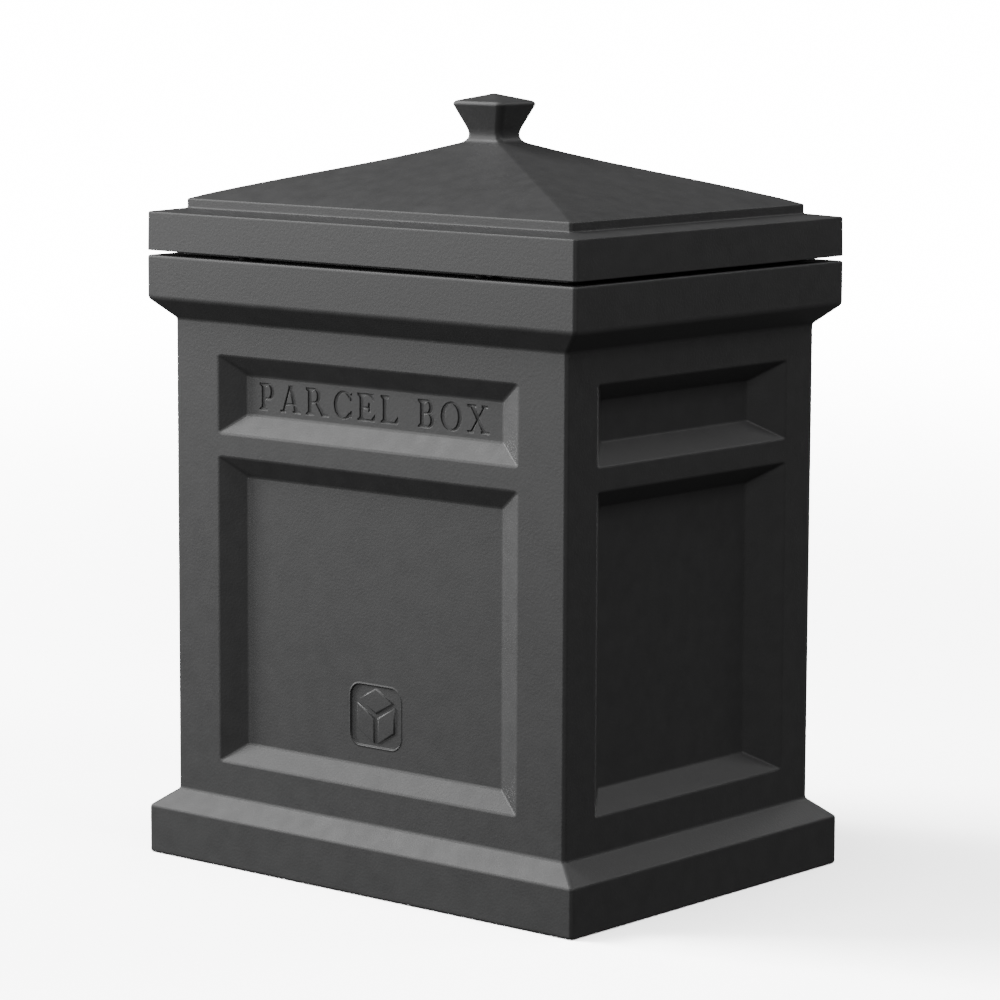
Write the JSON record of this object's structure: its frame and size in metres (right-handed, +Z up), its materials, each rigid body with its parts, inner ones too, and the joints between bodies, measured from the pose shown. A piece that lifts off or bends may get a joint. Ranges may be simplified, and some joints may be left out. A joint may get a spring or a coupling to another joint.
{
  "type": "parcel drop box",
  "caption": "Free-standing moulded parcel box with recessed panels, cornice and plinth, and a hinged pyramid lid with a flared knob over a lined bin.",
  "frame": {"origin": "centre of the flat base, on the ground plane", "axes": "+Z up, the lettered front faces -Y, +X is to the right seen from the front, the lid hinges along X at the rear"},
  "size_m": [0.5464, 0.4258, 0.7575],
  "materials": {
    "shell_plastic": "charcoal black moulded resin, fine matte grain",
    "liner_plastic": "black moulded resin, satin",
    "base_plastic": "black moulded resin, matte",
    "mat_rubber": "black rubber, matte",
    "hinge_steel": "black powder-coated steel",
    "screw_steel": "zinc-plated steel"
  },
  "bodies": {
    "cabinet": {"anchor_plug_1": "mat_rubber", "anchor_plug_2": "mat_rubber", "anchor_plug_3": "mat_rubber", "anchor_plug_4": "mat_rubber", "base_screw_1": "screw_steel", "base_screw_2": "screw_steel", "base_screw_3": "screw_steel", "base_screw_4": "screw_steel", "base_screw_5": "screw_steel", "base_screw_6": "screw_steel", "base_tray": "base_plastic", "bin_liner": "liner_plastic", "body_shell": "shell_plastic", "floor_mat": "mat_rubber", "hinge_left_body_leaf": "hinge_steel", "hinge_left_body_screw_1": "screw_steel", "hinge_left_body_screw_2": "screw_steel", "hinge_left_pin": "hinge_steel", "hinge_right_body_leaf": "hinge_steel", "hinge_right_body_screw_1": "screw_steel", "hinge_right_body_screw_2": "screw_steel", "hinge_right_pin": "hinge_steel", "liner_screw_1": "screw_steel", "liner_screw_2": "screw_steel", "liner_screw_3": "screw_steel", "liner_screw_4": "screw_steel"},
    "lid": {"hinge_left_lid_leaf": "hinge_steel", "hinge_left_lid_screw_1": "screw_steel", "hinge_left_lid_screw_2": "screw_steel", "hinge_right_lid_leaf": "hinge_steel", "hinge_right_lid_screw_1": "screw_steel", "hinge_right_lid_screw_2": "screw_steel", "lid_bumper_front_left": "mat_rubber", "lid_bumper_front_right": "mat_rubber", "lid_bumper_rear_left": "mat_rubber", "lid_bumper_rear_right": "mat_rubber", "lid_pan": "liner_plastic", "lid_screw_1": "screw_steel", "lid_screw_2": "screw_steel", "lid_screw_3": "screw_steel", "lid_screw_4": "screw_steel", "lid_screw_5": "screw_steel", "lid_screw_6": "screw_steel", "lid_shell": "shell_plastic"}
  },
  "joints": [
    {"name": "lid_hinge", "type": "hinge", "parent": "cabinet", "child": "lid", "pos_m": [0, 0.2111, 0.60025], "axis": [-1, 0, 0], "range_deg": [0, 100]}
  ]
}
